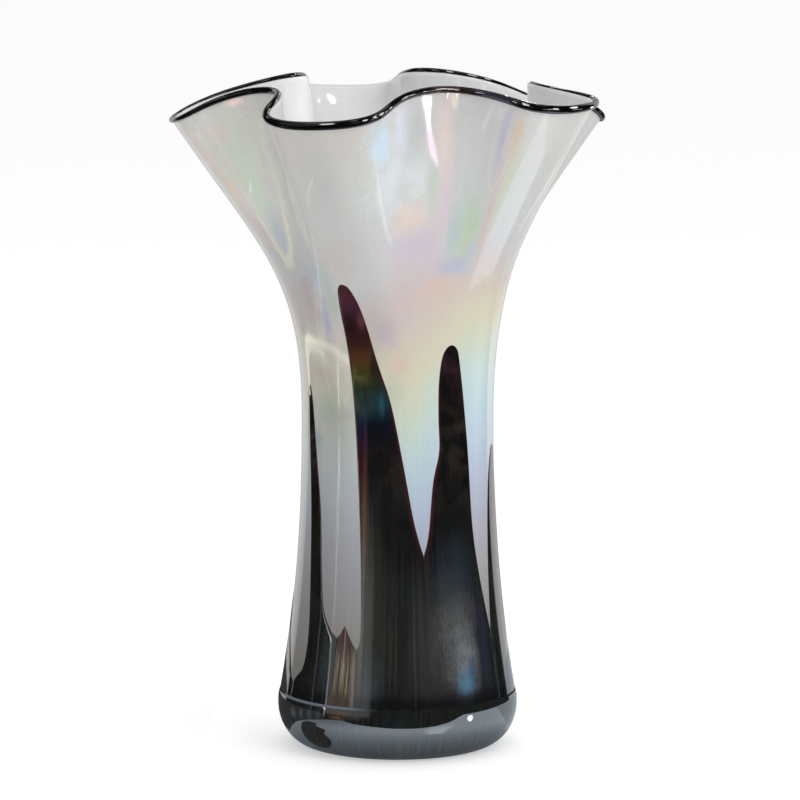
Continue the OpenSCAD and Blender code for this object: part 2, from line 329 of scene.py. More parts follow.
def flame(name, sides, across, along):
    """A tongue of dark glass melted into the opal wall, thin at its free edges and full in its seams."""
    t = 1 - (1 - np.linspace(0, 1, along + 1)) ** TIP_CROWDING
    t[-1] = TIP_END
    left, right = side_points(sides[0], t), side_points(sides[1], t)
    x = (1 - np.cos(np.linspace(0, np.pi, across + 1))) / 2
    spot = left[:, None] + (right - left)[:, None] * x[None, :, None]
    angle, v = spot[..., 1], row_at(spot[..., 1], spot[..., 0])
    full = FLAME_T * mix(1, TIP_T, t ** 4)[:, None]
    free = [mix(FLAME_EDGE_T, FLAME_T, np.clip((side[0][0] - edge[:, 0]) / SEAM_FADE, 0, 1))[:, None]
            for side, edge in zip(sides, (left, right))]
    free = np.where(x[None] < 0.5, free[0], free[1])
    thick = mix(full, np.minimum(free, full), np.abs(2 * x - 1)[None] ** EDGE_POWER)
    base = wall(angle, v)
    points = np.concatenate([
        (base + outward(angle, v) * thick[..., None]).reshape(-1, 3), base.reshape(-1, 3)])
    turned = angle - 360 * (angle.mean() > 180)
    place = np.concatenate([triples(turned, v, x)] * 2)
    n, m = along + 1, across + 1
    number = np.arange(n * m).reshape(n, m)
    lower = number + n * m
    # The lower end has points of its own, so that its edge stays crisp
    end = 2 * n * m + np.arange(2 * m).reshape(2, m)
    points = np.concatenate([points, points[number[0]], points[lower[0]]])
    place = np.concatenate([place, place[number[0]], place[lower[0]]])
    faces = np.concatenate([
        grid_faces(n, m), grid_faces(n, m, start=n * m, flip=True),
        strip_faces(number[:, 0], lower[:, 0]), strip_faces(number[:, -1], lower[:, -1], flip=True),
        strip_faces(end[0], end[1], flip=True), strip_faces(number[-1], lower[-1]),
    ])
    return make_mesh(name, points, faces.tolist(), place)


def cup_profile():
    """The dark cup's section, as radius and height, from the foot's centre round to the bubble's pole."""
    a = np.linspace(0, np.pi / 2, 40)
    arc = np.stack([FOOT_R + (CUP_R - FOOT_R) * np.sin(a), CUP_SWELL_H * (1 - np.cos(a))], -1)
    t = np.linspace(0, 1, 12)[1:]
    shoulder = np.stack([mix(CUP_R, CUP_TOP_R + FLAME_T, t ** 3), mix(CUP_SWELL_H, CUP_H, t)], -1)
    b = np.linspace(0, np.pi / 2, 24)
    hollow = np.stack([BELLY_R * np.cos(b), BELLY_H - (BELLY_H - BUBBLE_H) * np.sin(b)], -1)[:-1]
    c = np.linspace(0, np.pi / 2, 6)
    pontil = np.stack([PONTIL_R + PONTIL_DEPTH * np.sin(c), PONTIL_DEPTH * np.cos(c)], -1)
    inside = np.stack([np.linspace(2, PONTIL_R, 5)[:-1], np.full(4, PONTIL_DEPTH)], -1)
    ring = np.stack([np.linspace(PONTIL_R + PONTIL_DEPTH, FOOT_R, 8)[1:-1], np.zeros(6)], -1)
    return np.concatenate([inside, pontil, ring, arc, shoulder, [(CUP_TOP_R, CUP_H)], hollow])


def base_cup():
    """The dark cup, turned round the vase's axis."""
    profile = cup_profile()
    angles = np.radians(np.arange(0, 360, 1.0))
    n = len(angles)
    r, z = profile[:, :1], profile[:, 1:]
    points = np.concatenate([around(r, angles, z).reshape(-1, 3), [(0, 0, PONTIL_DEPTH), (0, 0, BUBBLE_H)]])
    turned = np.degrees(angles)
    turned = np.where(turned > 180, turned - 360, turned)
    row = (z - BELLY_H) / (WAIST_H - BELLY_H)
    place = np.concatenate([triples(turned, row, 0), [(0, -1, 0), (0, -1, 0)]])
    faces = grid_faces(len(profile), n, closed=True).tolist()
    faces += end_fans(len(points), n, n * (len(profile) - 1))
    return make_mesh("dark_cup", points, faces, place)


def thread_size(angle):
    """Half the thread's width and height at an angle, a little uneven along its run."""
    turns = np.radians(angle)
    full = rim_line(angle)[5] * (0.95 + 0.025 * np.sin(3 * turns + 1) + 0.012 * np.sin(11 * turns))
    return THREAD_R * (1 + full) / 2 - THREAD_INSET, THREAD_R * full


def lip_wrap():
    """The black thread, hooked over the end of the wall."""
    angles = np.arange(-180, 180, 0.5)
    n = len(angles)
    reach, high = thread_size(angles)
    # The section: three quarters of an oval, then back to its middle over the end of the wall
    oval = 25
    a = np.radians(np.linspace(-90, 180, oval))
    section = np.zeros((n, oval + 2, 2))
    section[:, :oval, 0] = reach[:, None] * np.cos(a)
    section[:, :oval, 1] = high[:, None] * np.sin(a)
    section[:, oval, 0] = -WALL_COVER * np.minimum(RIM_T, reach)
    out, up, rim = outward(angles, 2.0), climb(angles, 2.0), wall(angles, 2.0)
    points = rim[:, None] + section[..., :1] * out[:, None] + section[..., 1:] * up[:, None]
    m = section.shape[1]
    i, j = np.meshgrid(np.arange(n), np.arange(m), indexing="ij")
    k, l = (i + 1) % n, (j + 1) % m
    faces = np.stack([i * m + j, k * m + j, k * m + l, i * m + l], -1).reshape(-1, 4)
    place = triples(angles[:, None], 2.0, np.linspace(0, 1, m))
    return make_mesh("lip_thread", points.reshape(-1, 3), faces.tolist(), place)


# ---------------- materials
def tone(red, green, blue):
    """A colour from its 0 to 255 screen values, as linear light."""
    values = np.array([red, green, blue]) / 255
    linear = np.where(values <= 0.04045, values / 12.92, ((values + 0.055) / 1.055) ** 2.4)
    return (*linear.tolist(), 1.0)


def vivid(colour, amount):
    """A screen colour as linear light, with its distance from grey scaled."""
    linear = tone(*colour)[:3]
    grey = sum(linear) / 3
    return (*(grey + (c - grey) * amount for c in linear), 1.0)


class Nodes:
    """A node tree, with short calls for the kinds of nodes used here."""

    def __init__(self, tree):
        self.tree = tree
        tree.nodes.clear()

    def node(self, kind, **settings):
        made = self.tree.nodes.new(kind)
        for key, value in settings.items():
            setattr(made, key, value)
        return made

    def put(self, socket, value):
        if isinstance(value, bpy.types.NodeSocket):
            self.tree.links.new(value, socket)
        else:
            socket.default_value = value

    def fill(self, made, *values):
        """Puts values into a node's first sockets and gives its first output."""
        for socket, value in zip(made.inputs, values):
            self.put(socket, value)
        return made.outputs[0]

    def split(self, vector):
        made = self.node("ShaderNodeSeparateXYZ")
        self.put(made.inputs[0], vector)
        return made.outputs

    def join(self, x, y, z=0.0):
        return self.fill(self.node("ShaderNodeCombineXYZ"), x, y, z)

    def grey(self, amount):
        return self.join(amount, amount, amount)

    def math(self, operation, a, b=0.0, c=0.0):
        return self.fill(self.node("ShaderNodeMath", operation=operation), a, b, c)

    def times(self, first, *others):
        for other in others:
            first = self.math("MULTIPLY", first, other)
        return first

    def sway(self, value, noise, amount):
        """The value, moved up and down with a noise."""
        return self.math("MULTIPLY_ADD", self.math("ADD", noise, -0.5), amount, value)

    def apart(self, value, middle):
        """How far a value is from a middle one, on either side."""
        return self.math("ABSOLUTE", self.math("SUBTRACT", value, middle))

    def fade(self, value, start, end, low=0.0, high=1.0, kind="SMOOTHSTEP"):
        """Low to high as the value goes from start to end."""
        made = self.node("ShaderNodeMapRange", interpolation_type=kind)
        return self.fill(made, value, start, end, low, high)

    def blend(self, factor, a, b, mode="MIX"):
        made = self.node("ShaderNodeMix", data_type="RGBA", blend_type=mode)
        self.put(made.inputs["Factor"], factor)
        self.put(made.inputs[6], a)
        self.put(made.inputs[7], b)
        return made.outputs[2]

    def length(self, vector):
        made = self.node("ShaderNodeVectorMath", operation="LENGTH")
        self.put(made.inputs[0], vector)
        return made.outputs["Value"]


class Paint(Nodes):
    """A material: its shader, the colour laid on it so far, and where its points are."""

    def __init__(self, name, **settings):
        self.material = bpy.data.materials.new(name)
        self.material.use_nodes = True
        super().__init__(self.material.node_tree)
        self.shader = self.node("ShaderNodeBsdfPrincipled")
        output = self.node("ShaderNodeOutputMaterial")
        self.tree.links.new(self.shader.outputs["BSDF"], output.inputs["Surface"])
        self.set(**settings)
        self.place = self.node("ShaderNodeAttribute", attribute_name="place").outputs["Vector"]
        self.angle, self.row, self.across = self.split(self.place)
        self.point = self.node("ShaderNodeTexCoord").outputs["Object"]
        self.colour = None

    def set(self, **settings):
        for socket, value in settings.items():
            self.put(self.shader.inputs[socket.replace("_", " ")], value)

    def stretch(self, vector, scale):
        return self.fill(self.node("ShaderNodeVectorMath", operation="MULTIPLY"), vector, scale)

    def noise(self, vector, scale, detail=2.0, roughness=0.5, distortion=0.0, output="Fac"):
        made = self.node("ShaderNodeTexNoise", noise_dimensions="3D")
        for socket, value in (("Vector", vector), ("Scale", scale), ("Detail", detail),
                              ("Roughness", roughness), ("Distortion", distortion)):
            self.put(made.inputs[socket], value)
        return made.outputs[output]

    def ramp(self, value, stops):
        """A smooth run of colours over the value, from stops of a value and a screen colour."""
        made = self.node("ShaderNodeValToRGB")
        made.color_ramp.interpolation = "B_SPLINE"
        first, last = stops[0][0], stops[-1][0]
        elements = made.color_ramp.elements
        for index, (place, *colour) in enumerate(stops):
            spot = (place - first) / (last - first)
            element = elements[index] if index < 2 else elements.new(spot)
            element.position = spot
            element.color = tone(*colour)
        self.put(made.inputs[0], self.fade(value, first, last, kind="LINEAR"))
        return made.outputs["Color"]

    def lay(self, factor, colour, mode="MIX"):
        """Lays a colour over what is there. The colour is a socket or 0 to 255 screen values."""
        colour = tone(*colour) if isinstance(colour, tuple) else colour
        self.colour = self.blend(factor, self.colour, colour, mode)

    def reach(self, angle, row, wide, tall, lean=0.0, wobble=None):
        """0 at a place on the wall, 1 on the ellipse round it, and on outwards; lean is degrees per row."""
        offset = self.node("ShaderNodeVectorMath", operation="SUBTRACT")
        vector = self.fill(offset, self.place, (angle, row, 0))
        if lean:
            aside, up, _ = self.split(vector)
            vector = self.join(self.math("MULTIPLY_ADD", up, -lean, aside), up)
        reach = self.length(self.stretch(vector, (1 / wide, 1 / tall, 0)))
        return reach if wobble is None else self.math("ADD", reach, wobble)

    def spot(self, *where, **more):
        """1 at a place on the wall, falling softly to 0 round it."""
        return self.fade(self.reach(*where, **more), 1.6, 0.0)

    def ring(self, width, *where, **more):
        """1 along an ellipse on the wall, falling to 0 on both sides."""
        return self.fade(self.apart(self.reach(*where, **more), 1.0), width, 0.0)

    def bump(self, height, distance, strength):
        made = self.node("ShaderNodeBump")
        for socket, value in (("Distance", distance), ("Strength", strength), ("Height", height)):
            self.put(made.inputs[socket], value)
        self.set(Normal=made.outputs["Normal"])


# The opal's colour with its lustre, a sheen painted into it, from the belly to the rim, as a phase and the
# colour there
LUSTRE = [
    (0.10, 206, 196, 188), (0.40, 205, 199, 197), (0.58, 199, 201, 215), (0.72, 196, 203, 224),
    (0.86, 194, 211, 228), (0.96, 196, 216, 226), (1.06, 202, 221, 220), (1.14, 206, 219, 205),
    (1.22, 215, 215, 191), (1.32, 217, 210, 189), (1.42, 213, 201, 190), (1.50, 211, 200, 199),
    (1.58, 205, 202, 207), (1.67, 205, 209, 211), (1.75, 203, 212, 206), (1.84, 213, 209, 201),
    (1.92, 209, 206, 208), (2.12, 211, 213, 212),
]

# Patches of lustre, a sheen painted into the colour: colour, strength, angle, row, half width, half height,
# and a lean where there is one
# Among them, the pink spot under the rim at -63 is a painted highlight, and the patches from -76 to -58 on
# the left lobe are made paler as painted light
PATCHES = [
    ((222, 222, 216), 0.85, -66, 1.82, 22, 0.26, -14), ((196, 194, 194), 0.7, -52, 1.52, 16, 0.12),
    ((214, 212, 212), 0.8, 28, 1.78, 16, 0.24), ((214, 216, 217), 0.7, 4, 1.84, 16, 0.18),
    ((209, 210, 208), 0.95, 54, 1.74, 15, 0.26), ((216, 215, 212), 0.9, 58, 1.98, 14, 0.10),
    ((210, 202, 205), 0.8, 12, 1.52, 17, 0.10, 12), ((210, 194, 190), 0.75, 4, 1.38, 14, 0.10, 25),
    ((216, 197, 187), 0.8, 22, 1.42, 10, 0.07, 25), ((231, 215, 206), 0.9, 7, 1.68, 11, 0.065, 6),
    ((211, 198, 211), 0.9, 10, 1.575, 10, 0.06), ((222, 230, 233), 0.9, -1, 1.80, 11, 0.085),
    ((212, 230, 245), 0.9, -6, 1.92, 5, 0.07), ((222, 229, 240), 0.8, 4, 1.93, 5, 0.07),
    ((226, 230, 229), 0.8, 12, 1.80, 5, 0.08), ((197, 200, 202), 0.7, 11, 1.93, 4, 0.09),
    ((232, 217, 211), 0.9, 19.5, 1.87, 2.6, 0.11), ((197, 210, 198), 0.8, 16.5, 1.78, 1.8, 0.10),
    ((218, 204, 212), 0.8, 21, 1.68, 3, 0.12), ((212, 213, 214), 0.9, 30, 1.86, 7, 0.12),
    ((194, 210, 198), 0.9, 30, 1.63, 7.5, 0.14), ((192, 206, 180), 0.7, 31, 1.62, 4, 0.09),
    ((186, 202, 200), 0.8, 24.5, 1.60, 2.4, 0.10), ((188, 190, 212), 0.9, 26, 1.495, 7, 0.035, 18),
    ((193, 199, 208), 0.7, 34, 1.53, 4, 0.06, 14), ((210, 194, 192), 0.85, 39, 1.70, 2.6, 0.16),
    ((206, 210, 190), 0.8, 42.5, 1.76, 2.2, 0.14), ((214, 196, 178), 0.8, 40.5, 1.92, 1.8, 0.06),
    ((196, 190, 214), 0.7, 36, 1.90, 1.2, 0.07), ((190, 180, 192), 0.6, -5, 1.27, 7, 0.055),
    ((216, 194, 178), 0.6, 1, 1.165, 7, 0.035), ((184, 196, 178), 0.5, -3, 1.09, 6, 0.04),
    ((207, 221, 205), 0.9, -64, 1.78, 5.5, 0.17, -12), ((192, 196, 208), 0.8, -58, 1.60, 4, 0.09, -12),
    ((224, 208, 196), 0.9, -76, 1.80, 2.6, 0.14, -30), ((206, 190, 190), 0.8, -70, 1.62, 3, 0.09, -45),
    ((252, 226, 216), 0.9, -63, 1.988, 2.4, 0.012), ((222, 208, 202), 0.6, -70, 1.93, 4, 0.03),
    ((196, 212, 236), 0.8, 92, 1.80, 8, 0.15), ((204, 222, 206), 0.8, 130, 1.78, 10, 0.18, 10),
    ((222, 202, 212), 0.8, 118, 1.66, 6, 0.12), ((194, 198, 222), 0.8, 146, 1.62, 9, 0.10, 15),
    ((228, 214, 204), 0.8, 158, 1.84, 10, 0.13), ((192, 212, 200), 0.8, -161, 1.62, 9, 0.10, -12),
    ((202, 212, 234), 0.8, -146, 1.82, 8, 0.15), ((222, 204, 214), 0.8, -127, 1.70, 7, 0.14),
    ((206, 224, 208), 0.7, -108, 1.84, 7, 0.10), ((206, 218, 208), 0.6, 64, 1.50, 8, 0.08),
    ((174, 186, 196), 0.75, -42, 1.47, 8, 0.07), ((172, 186, 178), 0.7, -33, 1.38, 5, 0.10),
    ((168, 172, 190), 0.75, -40, 1.30, 4, 0.10), ((178, 166, 168), 0.6, -50, 1.36, 5, 0.12),
    ((182, 183, 187), 0.4, -24, 1.84, 3, 0.12), ((196, 186, 182), 0.45, -24, 1.56, 6, 0.09),
    ((190, 174, 166), 0.5, -50, 1.125, 11, 0.030), ((174, 186, 168), 0.5, -44, 1.03, 14, 0.045),
    ((150, 164, 178), 0.6, -55, 0.93, 5, 0.06),
]


# Painted reflections: pale loops where the wall turns over: strength, width, angle, row, half width, half
# height, lean
LOOPS = [
    (1.0, 0.18, -62, 1.79, 8.5, 0.29, -14),
    (0.25, 0.10, -35, 1.28, 13, 0.24, 10),
    (0.5, 0.16, 36.5, 1.88, 3.2, 0.11),
]

# Painted shade and light: where the opal is made darker or lighter than the rest of its row: change, angle,
# row, half width, half height
SHADES = [
    (-0.22, -50, 0.55, 24, 0.60), (0.12, 57, 1.10, 9, 0.30), (-0.16, -38, 1.02, 12, 0.16),
    (-0.26, 80, 0.40, 9, 0.45), (-0.14, -72, 1.30, 12, 0.26), (-0.08, -54, 1.42, 8, 0.16),
    (-0.12, -14, 1.30, 10, 0.12), (0.07, -9, 1.76, 10, 0.22),
]
# How much stronger the patches' colours are laid on than they are named
PATCH_VIVID = 1.12


def opal_outside_colours(paint, swirl):
    """The lustre's patches with painted sheen, highlight and light, the painted reflections of its loops
    and band, and its mottling.
    """
    # The painted sheen is paler on the left of the front, in grey bands
    paint.lay(paint.times(paint.fade(paint.apart(paint.angle, -55.0), 62.0, 30.0), 0.6), (196, 194, 190))
    wobble = paint.sway(paint.sway(0.0, swirl, 1.2), paint.noise(paint.point, 150.0, 4.0, 0.7), 1.6)
    for colour, strength, *where in PATCHES:
        soft = paint.times(paint.spot(*where, wobble=wobble), strength)
        paint.colour = paint.blend(soft, paint.colour, vivid(colour, PATCH_VIVID))
    for strength, width, *where in LOOPS:
        loop = paint.ring(width, *where, wobble=paint.times(wobble, 0.25))
        middle, half = where[1], where[3]
        lower = paint.fade(paint.row, middle + half, middle)
        paint.lay(paint.times(loop, strength, lower), (222, 221, 208))
    # A painted reflection: a pale band that sinks to the right over the front left
    band = paint.times(
        paint.ring(0.055, -57, 0.80, 60, 0.425), paint.fade(paint.row, 0.98, 1.06),
        paint.fade(paint.angle, -70.0, -60.0), paint.fade(paint.angle, -14.0, -22.0), 0.55)
    paint.lay(band, (238, 238, 220))
    paint.lay(0.24, paint.noise(paint.point, 620.0, 3.0, 0.7, output="Color"), "SOFT_LIGHT")


def opal_paint(inside=False):
    """White opal glass with a pastel lustre, a sheen painted into its colour, that drifts up the wall."""
    paint = Paint("opal_inside" if inside else "opal_outside", IOR=1.25)
    drift = paint.noise(paint.point, 9.0, 2.0)
    swirl = paint.noise(paint.point, 26.0, 2.0, 0.55, 1.2)
    # Away from the right side the colours come lower on the wall
    turn = paint.math("SINE", paint.math("MULTIPLY", paint.angle, math.pi / 180))
    shift = paint.times(paint.fade(turn, 0.76, 0.02, 0.0, 0.21), paint.fade(paint.row, 1.70, 1.45))
    phase = paint.math("ADD", shift, paint.math("ADD", paint.row, -0.04))
    phase = paint.sway(phase, drift, paint.fade(paint.row, 1.35, 1.75, 0.10, 0.55))
    paint.colour = paint.ramp(paint.sway(phase, swirl, 0.10), LUSTRE)
    # Painted shade: the glass is made darker towards the base, where dark glass lies behind it
    painted_shade_and_grain = paint.fade(paint.row, -0.1, 1.15, 0.36, 1.0)
    if inside:
        paint.lay(0.85, (238, 239, 239))
        # Painted glow: the inside shines by itself at its back left fold and right lobe, standing in for
        # light that comes through the wall
        fold = paint.times(paint.spot(-124, 1.93, 9, 0.16), 0.30)
        lobe = paint.times(paint.spot(104, 1.95, 10, 0.10), 0.14)
        paint.set(Emission_Color=WHITE, Emission_Strength=paint.math("ADD", fold, lobe))
    else:
        opal_outside_colours(paint, swirl)
        # Painted shade and light, patch by patch
        for change, *where in SHADES:
            painted_shade_and_grain = paint.times(painted_shade_and_grain, paint.math("MULTIPLY_ADD", paint.spot(*where), change, 1.0))
        paint.set(IOR=paint.fade(paint.row, 0.7, 1.05, 1.42, 1.65))
    # Fine streaks and grain show how the glass was pulled
    streaks = paint.noise(paint.stretch(paint.place, (0.5, 0.7, 0)), 1.0, 3.0, 0.6)
    grain = paint.noise(paint.point, 1100.0, 1.0, 0.5)
    painted_shade_and_grain = paint.times(painted_shade_and_grain, paint.sway(1.0, streaks, paint.fade(paint.row, 1.15, 0.75, 0.05, 0.22)))
    painted_shade_and_grain = paint.times(painted_shade_and_grain, paint.sway(1.0, grain, 0.06))
    paint.lay(1.0, paint.grey(painted_shade_and_grain), "MULTIPLY")
    paint.set(Base_Color=paint.colour, Roughness=paint.fade(swirl, 0.2, 0.8, 0.035, 0.09))
    paint.bump(paint.noise(paint.stretch(paint.point, (1, 1, 0.35)), 45.0, 2.0), 0.0005, 0.5)
    return paint.material


# The tallest flame's lustre, a sheen painted into the colour, up its left side, as the wall's row and the
# colour there
FLAME_LUSTRE = [
    (-0.10, 36, 40, 42), (0.12, 66, 70, 70), (0.35, 62, 62, 50), (0.52, 66, 60, 44), (0.64, 84, 62, 42),
    (0.76, 68, 40, 26), (0.86, 62, 26, 26), (0.93, 48, 24, 40), (0.975, 36, 26, 56), (1.01, 24, 44, 66),
    (1.05, 24, 44, 48), (1.09, 30, 36, 26), (1.12, 66, 66, 34), (1.15, 78, 60, 28), (1.18, 94, 60, 36),
    (1.215, 60, 28, 20), (1.25, 46, 24, 26), (1.29, 30, 14, 20), (1.325, 50, 26, 38), (1.37, 74, 36, 58),
    (1.41, 78, 38, 46), (1.50, 72, 40, 44),
]

# Its lustre, a painted sheen, on the right of that
RIGHT_LUSTRE = [
    (0.70, 22, 17, 17), (0.85, 20, 14, 17), (0.95, 15, 13, 24), (1.00, 13, 16, 28), (1.035, 20, 44, 58),
    (1.06, 28, 60, 66), (1.09, 30, 46, 38), (1.12, 44, 48, 32), (1.15, 36, 28, 20), (1.19, 64, 48, 30),
    (1.225, 68, 38, 30), (1.26, 64, 32, 34), (1.30, 100, 58, 64), (1.33, 92, 52, 62), (1.36, 60, 36, 46),
    (1.45, 70, 40, 44),
]

# The other flames' lustre, a painted sheen
DARK_LUSTRE = [
    (-0.10, 20, 22, 26), (0.25, 26, 29, 33), (0.55, 26, 28, 28), (0.70, 20, 20, 20), (0.86, 50, 46, 38),
    (0.97, 58, 50, 42), (1.03, 30, 22, 22), (1.12, 40, 22, 26), (1.18, 62, 36, 44), (1.50, 62, 30, 34),
]

# Haze, painted sheen and painted highlights on the front of the dark glass, in the same order
HAZE_AND_SHEEN = [
    ((68, 68, 68), 0.85, 26, 0.22, 24, 0.22), ((100, 101, 102), 0.8, 33, 0.27, 11, 0.17),
    ((128, 134, 138), 0.9, 37, 0.15, 8, 0.11), ((78, 132, 162), 1.0, 36.5, 0.085, 5, 0.05),
    ((44, 84, 116), 0.8, 41, 0.12, 3, 0.05), ((38, 52, 64), 0.8, 34, 0.48, 11, 0.12),
    ((34, 44, 66), 0.8, 51, 0.20, 4, 0.16), ((56, 57, 50), 0.8, -12, 0.30, 7, 0.24),
    ((62, 72, 76), 0.9, -14, 0.08, 6, 0.10), ((56, 66, 70), 0.7, -40, 0.14, 4, 0.12),
    ((28, 24, 22), 0.8, 3, 0.25, 3, 0.20), ((46, 98, 108), 0.75, -9.4, 1.055, 1.9, 0.030),
    ((112, 62, 74), 0.8, -19.5, 1.315, 1.8, 0.035), ((24, 13, 16), 0.9, -25.5, 1.305, 2.4, 0.040),
    ((84, 40, 62), 0.7, -27, 1.39, 2.2, 0.035), ((98, 92, 84), 0.9, -19.6, 0.35, 1.4, 0.40),
    ((22, 44, 46), 1.0, -14.8, 0.40, 1.0, 0.42), ((48, 48, 40), 0.7, -11.5, 0.45, 2.4, 0.30),
    ((112, 110, 104), 0.8, -24, 0.16, 1.3, 0.14),
]

# On the cup, in the same order: a painted brown reflection under the streak, and marks on its left
CUP_MARKS_AND_REFLECTION = [
    ((74, 52, 34), 1.0, -28, -0.018, 7, 0.012), ((108, 92, 66), 0.8, -30, -0.034, 4, 0.007),
    ((60, 62, 62), 0.8, -21, -0.030, 4, 0.008), ((92, 98, 106), 0.8, -60, -0.045, 2.2, 0.016),
    ((84, 92, 102), 0.8, -53, -0.040, 1.6, 0.018), ((88, 96, 106), 0.8, -47, -0.035, 1.8, 0.016),
    ((70, 80, 88), 0.8, -41, -0.030, 1.4, 0.018),
]


def dark_paint(name, haze_and_sheen, edge=None, crossing=False):
    """Near-black iridised glass: a mirror-like skin and mottled haze, with its lustre and highlights
    painted in as sheen.

    edge is how far the lustre reaches from the flame's left side, low down, at the waist and beyond it.
    A crossing lustre goes on over the right side.
    """
    paint = Paint(name, IOR=2.45)
    mottle = paint.noise(paint.point, 55.0, 5.0, 0.68, 0.8)
    scratch = paint.noise(paint.stretch(paint.point, (1, 1, 0.5)), 600.0, 4.0, 0.75, 0.8)
    streaks = paint.noise(paint.stretch(paint.place, (0.7, 0.6, 0)), 1.0, 4.0, 0.6)
    paint.colour = paint.blend(paint.fade(streaks, 0.35, 0.75), tone(11, 11, 13), tone(26, 23, 23))
    paint.lay(paint.fade(mottle, 0.42, 0.60), paint.ramp(paint.row, DARK_LUSTRE))
    # Fine streaks of olive and teal drawn up from the base
    drawn = paint.noise(paint.stretch(paint.place, (2.0, 1.6, 0)), 1.0, 3.0, 0.6)
    near_base = paint.times(paint.fade(drawn, 0.46, 0.62), paint.fade(paint.row, 0.75, 0.35), 0.9)
    paint.lay(near_base, paint.blend(paint.fade(streaks, 0.42, 0.58), tone(24, 46, 50), tone(62, 56, 44)))
    bent = paint.sway(paint.row, mottle, 0.07)
    if crossing:
        over = paint.times(paint.fade(paint.row, 0.80, 0.98), paint.fade(streaks, 0.25, 0.60, 0.6))
        paint.lay(over, paint.ramp(bent, RIGHT_LUSTRE))
    if edge is not None:
        low, middle, beyond = edge
        reach = paint.math("ADD", paint.fade(paint.row, 0.3, 1.0, low, middle, "LINEAR"),
                           paint.fade(paint.row, 1.02, 1.28, 0.0, beyond, "LINEAR"))
        side = paint.fade(paint.math("SUBTRACT", paint.across, reach), 0.03, -0.05)
        side = paint.times(side, paint.fade(streaks, 0.25, 0.62, 0.6),
                           paint.fade(drawn, 0.62, 0.46, 0.45))
        paint.lay(side, paint.ramp(bent, FLAME_LUSTRE))
    wobble = paint.sway(0.0, mottle, 1.2)
    grit = paint.times(paint.fade(scratch, 0.34, 0.62, 0.62), paint.fade(streaks, 0.30, 0.62, 0.72))
    # Haze with painted sheen and highlights, patch by patch
    for colour, strength, *where in haze_and_sheen:
        paint.lay(paint.times(paint.spot(*where, wobble=wobble), strength, grit), colour)
    if haze_and_sheen is HAZE_AND_SHEEN:
        # Painted shade: the flames are darker at their foot, where they meet the cup
        foot = paint.fade(paint.sway(paint.row, mottle, 0.08), 0.07, 0.02)
        paint.lay(paint.times(foot, 0.8), (13, 13, 16))
        # A maroon edge where the dark glass thins out over the opal
        rim = paint.fade(paint.apart(paint.across, 0.5), 0.43, 0.49)
        paint.lay(paint.times(rim, paint.fade(paint.row, 0.45, 0.7), 0.9), (70, 30, 34))
    else:
        # The cup's lip has its specular reflection taken away, and a pale highlight is painted on it on the
        # left of the front
        lip = paint.fade(paint.row, -0.006, 0.002)
        paint.set(Specular_IOR_Level=paint.math("MULTIPLY_ADD", lip, -0.5, 0.5))
        painted_highlight = paint.times(lip, paint.fade(paint.angle, -78, -70), paint.fade(paint.angle, -8, -26))
        paint.lay(painted_highlight, (112, 118, 126))
    paint.set(Base_Color=paint.colour, Roughness=paint.fade(mottle, 0.3, 0.8, 0.03, 0.09))
    paint.bump(paint.noise(paint.point, 60.0, 3.0), 0.00015, 0.25)
    return paint.material


def ember_paint():
    """Brown glass feathered upwards, golden and grey in its streaks."""
    paint = Paint("ember_brown", IOR=2.0)
    fine = paint.noise(paint.stretch(paint.place, (2.4, 5.0, 0)), 1.0, 4.0, 0.65)
    broad = paint.noise(paint.stretch(paint.place, (0.9, 1.5, 0)), 1.0, 2.0, 0.5)
    paint.colour = paint.ramp(paint.sway(paint.row, fine, 0.16), [
        (-0.03, 46, 28, 14), (0.02, 78, 48, 24), (0.06, 112, 98, 66), (0.12, 128, 122, 108),
        (0.18, 84, 62, 52), (0.22, 62, 44, 42), (0.30, 72, 46, 46)])
    paint.lay(paint.fade(fine, 0.46, 0.54, 0.0, 0.95), (36, 25, 22))
    blobs = paint.fade(paint.sway(paint.row, broad, 0.16), 0.055, 0.03)
    paint.lay(paint.times(blobs, paint.fade(fine, 0.62, 0.45)), (52, 28, 16))
    paint.lay(paint.times(paint.fade(fine, 0.44, 0.36), paint.spot(-31, 0.09, 6, 0.12)), (168, 156, 118))
    paint.lay(paint.times(paint.spot(-22.5, 0.10, 1.6, 0.14), 0.9), (112, 112, 104))
    paint.lay(paint.times(paint.spot(-28.6, 0.22, 0.5, 0.12), 0.7), (150, 112, 96))
    paint.set(Base_Color=paint.colour, Roughness=paint.fade(broad, 0.3, 0.7, 0.04, 0.10))
    return paint.material


def thread_paint():
    """Glossy black glass with faint drifts, and a faint violet and brown sheen painted on."""
    paint = Paint("thread_black", IOR=1.75)
    drift = paint.noise(paint.point, 40.0, 3.0)
    paint.colour = paint.blend(paint.fade(drift, 0.50, 0.70), tone(8, 8, 9), tone(24, 22, 26))
    # Painted sheen: violet and brown patches on the front of the thread
    paint.lay(paint.times(paint.spot(33, 2.0, 5, 0.2), 0.5), (44, 32, 64))
    paint.lay(paint.times(paint.spot(21, 2.0, 5, 0.2), 0.6), (66, 46, 30))
    paint.set(Base_Color=paint.colour, Roughness=paint.fade(drift, 0.3, 0.7, 0.03, 0.07))
    return paint.material


# ---------------- the vase
def dress(thing, node, slot, *materials):
    """Puts the materials on a piece that stands for a CAD node, hangs it from the root and hides the node.
    """
    for material in materials:
        thing.data.materials.append(material)
    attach(thing, "root")
    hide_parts(node)


